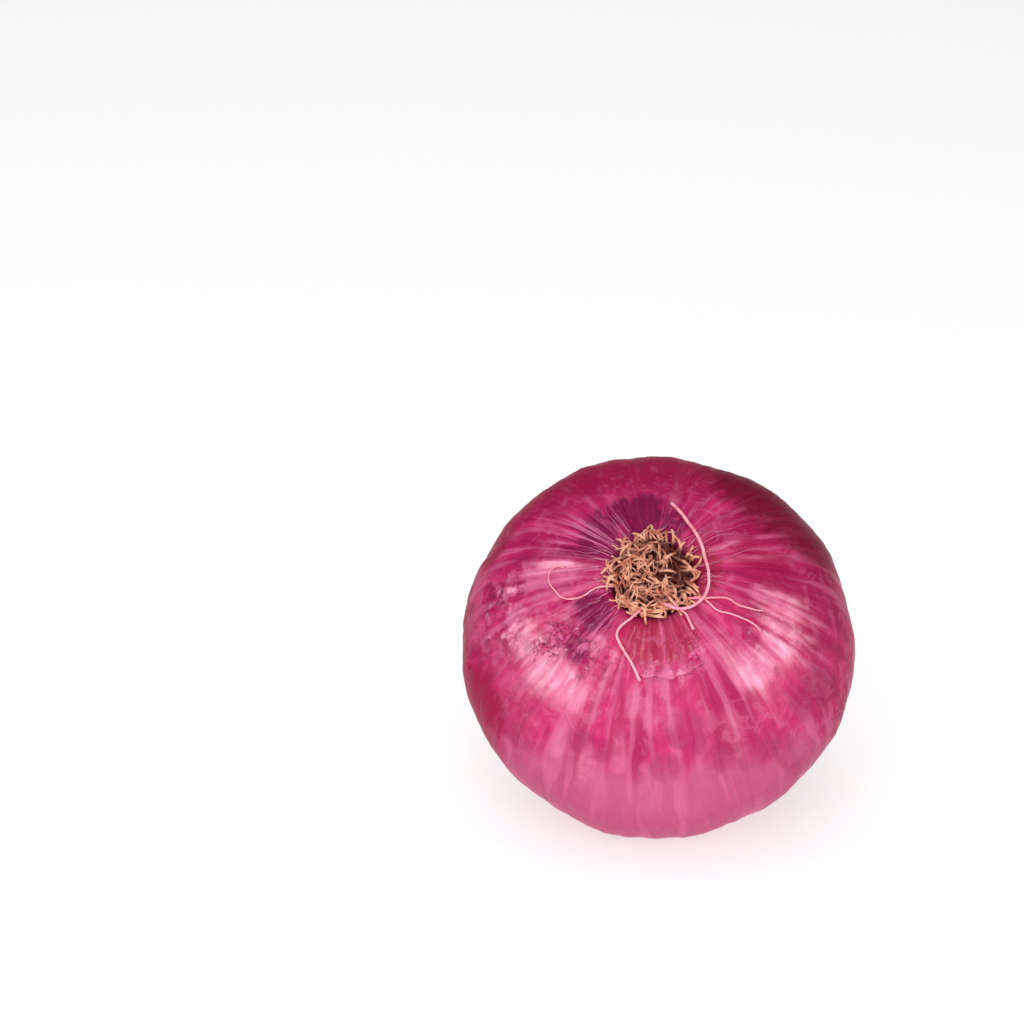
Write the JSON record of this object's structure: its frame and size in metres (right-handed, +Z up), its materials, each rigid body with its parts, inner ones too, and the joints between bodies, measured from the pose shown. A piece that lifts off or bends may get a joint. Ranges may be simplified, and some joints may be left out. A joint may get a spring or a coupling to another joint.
{
  "type": "onion",
  "caption": "Whole red onion lying on its belly, its root end with a tuft of dry curled roots turned up to the front and its short dried neck on the floor behind.",
  "frame": {"origin": "on the floor, under the middle of the onion's bounding box", "axes": "+Z up; +X across the bulb, its widest way; -Y to the front, where the root end looks up and out; +Y to the back, where the neck lies"},
  "size_m": [0.0821, 0.0764, 0.0737],
  "materials": {
    "onion_skin": "satin",
    "dry_root": "matte",
    "dry_leaf": "matte"
  },
  "bodies": {
    "root": {"bulb": "onion_skin", "root_tuft": "dry_root", "dry_neck": "dry_leaf"}
  },
  "joints": []
}
